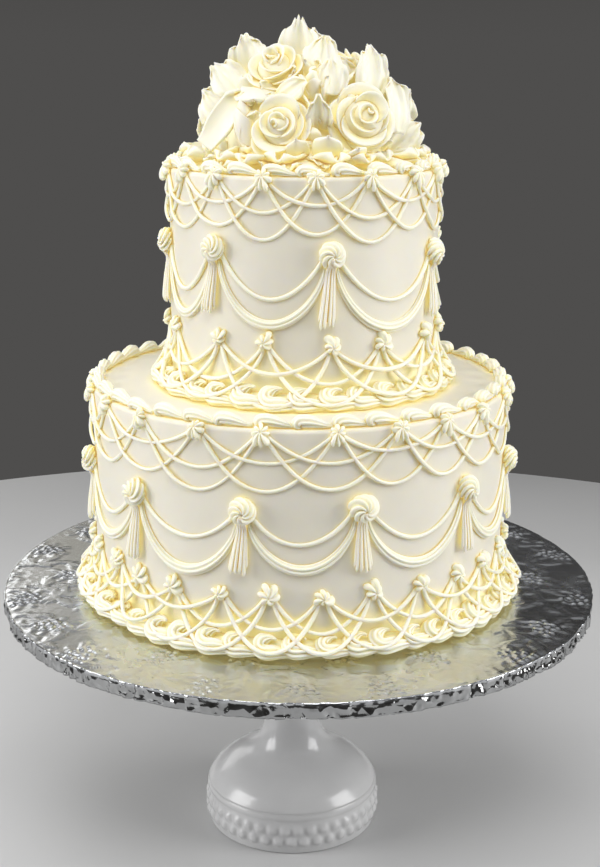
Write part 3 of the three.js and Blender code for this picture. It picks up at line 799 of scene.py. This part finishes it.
def frond(u, v, start, bend):
    """A long curling leaf with lobes, and slanting ribs between its edge and its vein."""
    reach = np.hypot(u, v)
    angle = np.arctan2(v, u) - start - bend * 0.050 * (reach - 8)
    angle = (angle + np.pi) % (2 * np.pi) - np.pi
    off = angle * reach
    along = np.clip((reach - 11) / 26, 0, 1)
    lobes = 1 + 0.45 * np.cos(4.5 * np.pi * along + 0.35 * np.abs(off)) * smooth(along / 0.2)
    half = 7.0 * np.sin(np.pi * along) ** 0.7 * lobes
    inside = smooth((half - np.abs(off)) / 0.6)
    ribs = 0.5 + 0.5 * np.sin(1.7 * (reach - 0.8 * np.abs(off)))
    vein = np.exp(-(off / 0.8) ** 2)
    return inside * (0.42 + 0.10 * ribs + 0.22 * vein)


def board():
    """The drum in its foil: embossed on top, pleated and creased round its edge."""
    dice = dice_of(8)
    radius, top, thick = BOARD.radius, BOARD.top, BOARD.thickness
    angle = circle(BOARD_COLUMNS)
    rings = []
    ripple = 0.05 * np.sin(9 * angle) + 0.03 * np.sin(23 * angle + 1)
    for spread in np.concatenate([[2.0], np.linspace(EMBOSS_FROM, radius - 1.4, 62)]):
        raised = ripple * smooth((spread - 150) / 50)
        if spread >= EMBOSS_FROM:
            x, y, _ = around(angle, spread, 0).T
            raised = raised + emboss(x, y) * smooth((radius - 2 - spread) / 2)
        rings.append(around(angle, spread, FOIL_TOP + raised))
    creases = pleats(angle, dice)
    for level in np.linspace(0, 1, 10):
        height = top - 1.0 - (thick - 1.4) * level + ripple * (1 - level)
        rings.append(around(angle, radius - 0.9 + creases(level), height))
    for spread in (radius - 3, radius - 14, radius - 60, 2.0):
        fold = creases(1.2) * 0.25 * smooth((spread - 120) / 60)
        rings.append(around(angle, spread, top - thick + np.abs(fold)))
    return skin(rings)


def pleats(angle, dice):
    """The folds where the foil is drawn down over the edge: facets with sharp creases between."""
    layers = []
    for count, depth in ((220, 1.5), (640, 1.2)):
        places = np.sort(dice(0, 2 * np.pi, count))
        upright = dice(-depth, 0.6 * depth, count)
        calm = np.where(dice(0, 1, count) < 0.4, 0.3, 1.0)
        for _ in range(PLEAT_LEVELS):
            heights = calm * (0.6 * upright + 0.6 * dice(-depth, 0.6 * depth, count))
            layers.append(np.interp(angle, places, heights, period=2 * np.pi))
    layers = np.reshape(layers, (2, PLEAT_LEVELS, -1)).sum(0)
    creases = [
        (dice(0, 2 * np.pi), dice(-0.03, 0.03), dice(0.5, 1.6))
        for _ in range(CREASES)
    ]

    def out(level):
        place = min(level, 0.999) * (PLEAT_LEVELS - 1)
        low, share = int(place), place - int(place)
        total = layers[low] * (1 - share) + layers[low + 1] * share
        for where, slant, depth in creases:
            off = (angle - where - slant * level + np.pi) % (2 * np.pi) - np.pi
            total -= depth * np.exp(-(off * BOARD.radius / 1.3) ** 2)
        return total * min(1, 0.25 + 4 * level)
    return out


# The pedestal

BEADS = Sizes(count=42, rows=(9.4, 17.9), radius=3.5, proud=1.7)


def turned(outline, columns, relief=None):
    """Rings of points for a solid turned on the pedestal's axis, with relief on it if any."""
    angle = circle(columns)
    return np.array([
        around(angle, radius + (relief(angle, z) if relief else 0), z, STAND.x)
        for radius, z in spline(outline, 3)
    ])


def stand():
    """The pedestal: a turned shape with two rows of beads round its foot."""
    foot, stem, plate = STAND.foot, STAND.stem, STAND.plate
    top = BOARD.top - BOARD.thickness - 0.3
    band = [
        (-2, 0), (-0.3, 0.6), (0, 2.0), (0.6, 6), (0.9, 10), (0.9, 14), (0.6, 20), (0.2, 24.0),
        (0.8, 26.2), (0.9, 28.4), (0.1, 30.2),
    ]
    dome = [(-1.0, 28.5), (0.1, 30.2), (-2.2, 34.2), (-6, 39), (-15, 46), (-27, 52), (-35, 59.5)]
    column = [
        (3, 70), (0.6, 82), (0, 92), (0.2, 104), (1, 116), (3, 128), (7, 138), (24, 151), (60, 157),
    ]
    mass = Mass()
    tube(mass, turned([(foot + r, z) for r, z in band], 8 * BEADS.count, beads))
    tube(mass, turned(
        [(foot + r, z) for r, z in dome] + [(stem + r, z) for r, z in column]
        + [(plate - 4, 162), (plate, 165), (plate, top - 1.5), (plate - 1.5, top)], 128))
    return mass


def spline(points, steps):
    """A smooth curve through the points."""
    p = np.array(points, float)
    p = np.vstack([2 * p[0] - p[1], p, 2 * p[-1] - p[-2]])
    t = (np.arange(steps) / steps)[:, None]
    curve = [
        b + t / 2 * (c - a + t * (2 * a - 5 * b + 4 * c - d + t * (3 * b - a - 3 * c + d)))
        for a, b, c, d in zip(p, p[1:], p[2:], p[3:])
    ]
    return np.vstack([*curve, p[-2:-1]])


def beads(angle, z):
    """How far the beads on the foot stand out at a height."""
    out = 0 * angle
    step = 2 * np.pi / BEADS.count
    for row, middle in enumerate(BEADS.rows):
        off = (angle + step * 0.5 * row + step / 2) % step - step / 2
        away = ((off * STAND.foot) ** 2 + (z - middle) ** 2) / BEADS.radius ** 2
        out = np.maximum(out, BEADS.proud * np.sqrt(np.maximum(0, 1 - away)))
    return out


# Materials

class Shading:
    """The nodes that feed a shader. A value that is the same everywhere is set on its own input."""

    def __init__(self, tree, shader, coordinates="Object"):
        self.nodes, self.links, self.shader = tree.nodes, tree.links, shader
        self.place = self.add("TexCoord", coordinates, {})

    def feed(self, node, inputs):
        """Links a node's inputs to other nodes' outputs, or sets them to values."""
        for name, value in inputs.items():
            if isinstance(value, bpy.types.NodeSocket):
                self.links.new(value, node.inputs[name])
            else:
                node.inputs[name].default_value = value

    def add(self, kind, output, inputs, **settings):
        """An output of a new node."""
        node = self.nodes.new("ShaderNode" + kind)
        for name, value in settings.items():
            setattr(node, name, value)
        self.feed(node, inputs)
        return node.outputs[output]

    def texture(self, kind, output, settings={}, **inputs):
        return self.add("Tex" + kind, output, {"Vector": self.place, **inputs}, **settings)

    def noise(self, scale, detail):
        return self.texture("Noise", "Fac", Scale=scale, Detail=detail)

    def height(self):
        return self.add("SeparateXYZ", "Z", {0: self.place})

    def openness(self, reach, samples):
        """1 in the open, and less where other faces stand closer than this many millimetres."""
        return self.add("AmbientOcclusion", "AO", {"Distance": reach * MM}, samples=samples)

    def ramp(self, source, *stops):
        """Colours over a value. Each stop is a place and a colour, or a place and a grey."""
        node = self.nodes.new("ShaderNodeValToRGB")
        self.feed(node, {"Fac": source})
        elements = node.color_ramp.elements
        while len(elements) < len(stops):
            elements.new(0.5)
        for element, (place, colour) in zip(elements, stops):
            element.position = place
            element.color = (*colour, 1) if isinstance(colour, tuple) else (colour,) * 3 + (1,)
        return node.outputs["Color"]

    def multiplied(self, first, second):
        inputs = {"Factor": 1.0, 6: first, 7: second}
        return self.add("Mix", 2, inputs, data_type="RGBA", blend_type="MULTIPLY")

    def added(self, first, share, second):
        """A share of one value, added to another."""
        return self.add("Math", 0, {0: first, 1: share, 2: second}, operation="MULTIPLY_ADD")

    def bump(self, height, strength, distance, **under):
        inputs = {"Height": height, "Strength": strength, "Distance": distance * MM, **under}
        return self.add("Bump", "Normal", inputs)


def new_material(name):
    """A material with one shader, and its shading."""
    material = bpy.data.materials.new(name)
    material.use_nodes = True
    tree = material.node_tree
    tree.nodes.clear()
    shader = tree.nodes.new("ShaderNodeBsdfPrincipled")
    output = tree.nodes.new("ShaderNodeOutputMaterial")
    tree.links.new(shader.outputs["BSDF"], output.inputs["Surface"])
    return material, Shading(tree, shader)


# How close faces must stand, in millimetres, for the icing's painted groove shade.
GROOVE = 1.6


def icing(name, open_colour, painted_fold_colour, painted_deepest_fold_colour, reach, roughness, painted_hollow_glow):
    """Whipped buttercream: ivory in the open, with painted bounced light and shade that turn it yellow
    in its folds, painted dark yellow edging along narrow grooves and where pieces touch, a faint
    painted light of its own in its hollows, and a soft, pitted skin.
    """
    material, shading = new_material(name)
    hidden = shading.openness(reach, 8)
    # Painted bounced light and shade: the colour turns yellower where other faces close round it,
    # brighter there on the smooth icing and darker on the piped icing.
    folds = shading.ramp(hidden, (0.06, painted_deepest_fold_colour), (0.40, painted_fold_colour), (0.82, open_colour))
    tint = shading.ramp(shading.noise(35, 3), (0.3, (0.98, 0.975, 0.96)), (0.7, WHITE))
    # Painted shade: a dark yellow edging along narrow grooves and where pieces touch, wherever faces
    # stand closer than GROOVE millimetres.
    painted_groove_shade = shading.ramp(shading.openness(GROOVE, 4), (0.25, (0.77, 0.64, 0.33)), (0.74, WHITE))
    grain = shading.noise(900, 4)
    pitted = shading.added(grain, 0.35, shading.noise(120, 3))
    shading.feed(shading.shader, {
        "Base Color": shading.multiplied(shading.multiplied(folds, tint), painted_groove_shade),
        "Roughness": shading.ramp(grain, (0.3, roughness - 0.05), (0.7, roughness + 0.08)),
        "Normal": shading.bump(pitted, 0.22, 0.35),
        # Painted light: the icing emits a faint yellow light in its hollows, standing in for light
        # bounced there.
        "Emission Color": shading.ramp(hidden, (0.0, (0.42, 0.37, 0.19)), (0.55, 0.0)),
        "Emission Strength": painted_hollow_glow,
        "Subsurface Weight": 0.55,
        "Subsurface Radius": (1.0, 0.85, 0.45),
        "Subsurface Scale": 2.8 * MM,
        "Specular IOR Level": 0.4,
    })
    return material


def foil_material():
    """Silver foil: mirror-bright on top, duller where it is raised, and crumpled at the edge, with
    painted shade darkening its edge and a painted cool reflection on its raised pattern.
    """
    material, shading = new_material("embossed_foil")
    height = shading.height()
    edge, flat, low, high = ((FOIL_TOP + z) * MM for z in (-0.6, -0.3, 0.12, 0.28))
    stains = shading.noise(14, 4)
    metal = shading.ramp(stains, (0.3, (0.90, 0.89, 0.83)), (0.7, (0.97, 0.96, 0.90)))
    # Painted shade and reflection: dark grey from just under the top down over the pleated edge, and a
    # cool blue-grey on the raised pattern.
    painted_shade_and_reflection = shading.ramp(
        height, (edge, (0.40, 0.41, 0.44)), (flat, WHITE), (low, WHITE), (high, (0.74, 0.77, 0.86)))
    dull = shading.ramp(stains, (0.2, 0.42), (0.8, 0.62))
    worn = shading.ramp(height, (edge, 0.22), (flat, 0.26), (low, 0.26), (high, 0.50))
    facets = shading.texture("Voronoi", "Distance", Scale=170, Randomness=1.0)
    at_edge = shading.ramp(height, (edge, 1.0), (flat, 0.0))
    in_places = shading.ramp(shading.noise(16, 1), (0.42, 0.35), (0.58, 1.0))
    crumpled = shading.multiplied(facets, shading.multiplied(at_edge, in_places))
    hatch = shading.texture("Wave", "Fac", {"bands_direction": "DIAGONAL"}, Scale=420, Distortion=0.6)
    fine = shading.added(hatch, 0.15, shading.noise(90, 4))
    shading.feed(shading.shader, {
        "Base Color": shading.multiplied(metal, painted_shade_and_reflection),
        "Metallic": 1.0,
        "Roughness": shading.multiplied(dull, worn),
        "Normal": shading.bump(fine, 0.14, 0.5, Normal=shading.bump(crumpled, 1.0, 1.7)),
    })
    return material


def glass_material():
    """White opaque pressed glass: glossy, and a little cloudy."""
    material, shading = new_material("milk_glass")
    cloud = shading.noise(18, 3)
    shading.feed(shading.shader, {
        "Base Color": shading.ramp(cloud, (0.3, (0.60, 0.60, 0.605)), (0.7, 0.66)),
        "Roughness": shading.ramp(cloud, (0.2, 0.16), (0.8, 0.26)),
        "Normal": shading.bump(shading.noise(30, 1), 0.05, 0.5),
        "Subsurface Weight": 0.3,
        "Subsurface Radius": WHITE,
        "Subsurface Scale": 5 * MM,
        "Coat Weight": 0.25,
        "Coat Roughness": 0.05,
    })
    return material


def floor_material():
    material, shading = new_material("floor")
    colour = shading.ramp(shading.noise(3, 2), (0.3, 0.53), (0.7, 0.57))
    shading.feed(shading.shader, {"Base Color": colour, "Roughness": 0.5})
    return material


# Setting the pieces

def keep(mass, name, material, slot, *replaced):
    """Makes a piece of a mass, rides it on the cake and hides the solids that it stands for."""
    piece = mass.build(name, material)
    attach(piece, "root")
    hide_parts(*replaced)
    return piece


PIPED_WORK = [  # what is piped on a tier, in this order, and what its dice add to the tier's seed
    ("strings", hang_strings, 0), ("garlands", garlands, 4), ("rosettes", rosettes, 3),
    ("foot_border", foot_border, 1), ("rim_border", rim_border, 2),
]


def dress_tier(tier, smooth_icing, piped_icing):
    name = tier.name
    keep(tier_body(tier), name + "_icing", smooth_icing, "icing", name)
    for work, pipe, seed in PIPED_WORK:
        mass = Mass()
        pipe(mass, tier, dice_of(tier.seed + seed))
        keep(mass, name + "_" + work, piped_icing, "icing", name)


def dress_bouquet(petal_icing, mound_icing):
    keep(mound(), "bouquet_mound", mound_icing, "mound_icing", "flower_mound")
    keep(fillers(), "bouquet_fillers", petal_icing, "petal_icing", "flower_mound")
    flowers = [
        (name, sum(map(ord, name)), make, row)
        for make, rows in ((rose, ROSES), (bud, BUDS), (blade, BLADES)) for name, *row in rows
    ]
    for i, degrees in enumerate(RING_LEAVES):
        flowers.append(("ring_leaf_%d" % (i + 1), 40 + i, ring_leaf, (degrees, i)))
    for name, seed, make, row in flowers:
        mass = Mass()
        make(mass, dice_of(seed), *row)
        keep(mass, "piped_" + name, petal_icing, "petal_icing", name)


# The camera: the point that it looks at and its distance from it, how far it looks down, how far
# it is rolled, and its focal length in pixels.
CAMERA = Sizes(aim=(0.51, 0, 286.01), distance=987.96, pitch=15.31, roll=0.25, focal=1450)
IMAGE_HEIGHT = 867


def make_camera():
    """The camera, where the photograph was taken from."""
    data = bpy.data.cameras.new("camera")
    data.sensor_fit = "VERTICAL"
    data.sensor_height = 36
    data.lens = CAMERA.focal / IMAGE_HEIGHT * data.sensor_height
    data.clip_end = 20
    camera = bpy.data.objects.new("camera", data)
    camera.matrix_world = (
        Matrix.Translation(Vector(CAMERA.aim) * MM)
        @ Matrix.Rotation(math.radians(90 - CAMERA.pitch), 4, "X")
        @ Matrix.Rotation(math.radians(CAMERA.roll), 4, "Z")
        @ Matrix.Translation((0, 0, CAMERA.distance * MM))
    )
    bpy.context.scene.collection.objects.link(camera)
    bpy.context.scene.camera = camera


LIGHTS = [  # name, place, what it points at, width and height, power, colour
    ("left", (-1.36, -0.36, 0.70), (0, 0, 0.3), (0.8, 1.0), 15, WHITE),
    ("right", (1.36, -0.36, 0.70), (0, 0, 0.3), (0.8, 1.0), 14.8, WHITE),
    ("front", (0, -0.95, 1.60), (0, 0, 0.3), (1.1, 0.8), 12.4, WHITE),
    ("overhead", (-0.45, 0.40, 1.70), (0, 0, 0.3), (1.0, 0.8), 4, WHITE),
    ("left_rear", (-0.95, 1.45, 0.75), (0, 0, 0.2), (0.9, 0.5), 2.4, WHITE),
    ("pale_wall", (-0.74, 2.5, 1.15), (0, 0, 0.2), (1.0, 0.75), 1.1, (1.0, 0.95, 0.80)),
]


def light_studio():
    """Large soft lights all round, and a faint one far off that the left of the foil mirrors."""
    for name, place, aim, size, power, colour in LIGHTS:
        data = bpy.data.lights.new(name, "AREA")
        data.shape = "RECTANGLE"
        data.size, data.size_y = size
        data.energy = power
        data.color = colour
        light = bpy.data.objects.new(name, data)
        light.location = place
        light.rotation_euler = (Vector(aim) - Vector(place)).to_track_quat("-Z", "Y").to_euler()
        bpy.context.scene.collection.objects.link(light)
    world = bpy.data.worlds.new("studio")
    world.use_nodes = True
    shading = Shading(world.node_tree, world.node_tree.nodes["Background"], "Generated")
    sky = shading.ramp(shading.height(), (0.0, (0.078, 0.076, 0.074)), (0.40, (0.020, 0.018, 0.016)),
                       (0.73, 0.38), (1.0, 0.52))
    shading.feed(shading.shader, {"Color": sky, "Strength": 1.0})
    bpy.context.scene.world = world
    bpy.context.scene.view_settings.view_transform = "Standard"


def make_floor():
    """A plain pale table top, and the object stands on it."""
    outline = ((900.0, -30.0), (900.0, -2.0), (898.0, 0.0), (450.0, 0.0))
    rings = [around(circle(128), radius, height) for radius, height in outline]
    floor = skin(rings).build("floor", floor_material())


make_camera()
# Each icing: its own colour in the open, its painted fold colours, and how strongly it emits painted
# light in its hollows.
smooth_icing = icing("smooth_icing", (0.82, 0.785, 0.685), (0.975, 0.925, 0.66), (0.97, 0.90, 0.56),
                     reach=20, roughness=0.48, painted_hollow_glow=0.5)
piped_icing = icing("piped_icing", (0.965, 0.935, 0.79), (0.97, 0.905, 0.56), (0.955, 0.82, 0.30),
                    reach=8, roughness=0.44, painted_hollow_glow=0.35)
petal_icing = icing("petal_icing", (0.95, 0.915, 0.78), (0.96, 0.89, 0.57), (0.95, 0.80, 0.33),
                    reach=9, roughness=0.42, painted_hollow_glow=0.35)
mound_icing = icing("mound_icing", (0.95, 0.90, 0.66), (0.95, 0.86, 0.50), (0.95, 0.80, 0.36),
                    reach=10, roughness=0.46, painted_hollow_glow=0.4)
dress_tier(LOWER, smooth_icing, piped_icing)
dress_tier(UPPER, smooth_icing, piped_icing)
dress_bouquet(petal_icing, mound_icing)
keep(board(), "foil_board", foil_material(), "foil", "cake_board")
keep(stand(), "glass_stand", glass_material(), "milk_glass", "cake_stand")
make_floor()
light_studio()
